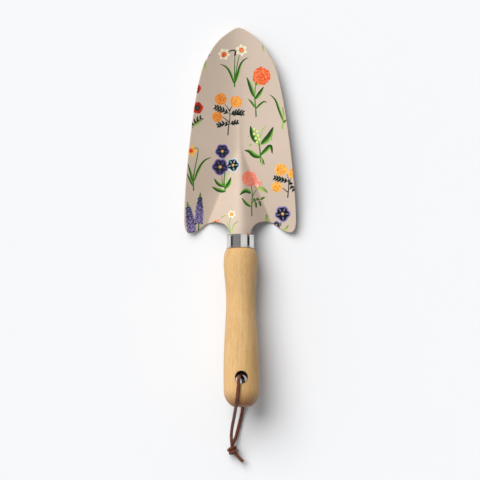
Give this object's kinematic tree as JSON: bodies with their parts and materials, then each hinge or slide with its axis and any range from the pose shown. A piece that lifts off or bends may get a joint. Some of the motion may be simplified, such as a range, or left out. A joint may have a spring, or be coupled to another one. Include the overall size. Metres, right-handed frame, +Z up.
{
  "type": "hand trowel",
  "caption": "Hand trowel with a wide dished steel blade, a pressed neck ridge, a chromed ferrule, a turned wooden handle and a knotted leather lanyard.",
  "frame": {"origin": "middle of the trowel's length and width, on the surface that the blade lies on; the lanyard is left out of it", "axes": "+Y along the trowel towards the tip, +X across the blade, +Z up, out of the hollow of the blade"},
  "size_m": [0.0952, 0.3698, 0.0495],
  "materials": {
    "lacquered_steel": "satin cream lacquer over pressed steel, printed with garden flowers",
    "chrome": "bright nickel-chromium plate",
    "wood": "pale turned hardwood, fine straight grain, satin oil",
    "leather": "brown cut lace, slightly waxed"
  },
  "bodies": {
    "trowel": {"blade": "lacquered_steel", "tang": "lacquered_steel", "ferrule": "chrome", "handle": "wood"},
    "lanyard": {"lanyard_loop": "leather", "lanyard_knot": "leather", "lanyard_tail_upper": "leather", "lanyard_tail_lower": "leather"}
  },
  "joints": [
    {"name": "lanyard_swing", "type": "hinge", "parent": "trowel", "child": "lanyard", "pos_m": [0, -0.1374, 0.0299], "axis": [0, 0, 1], "range_deg": [-30, 30]}
  ]
}
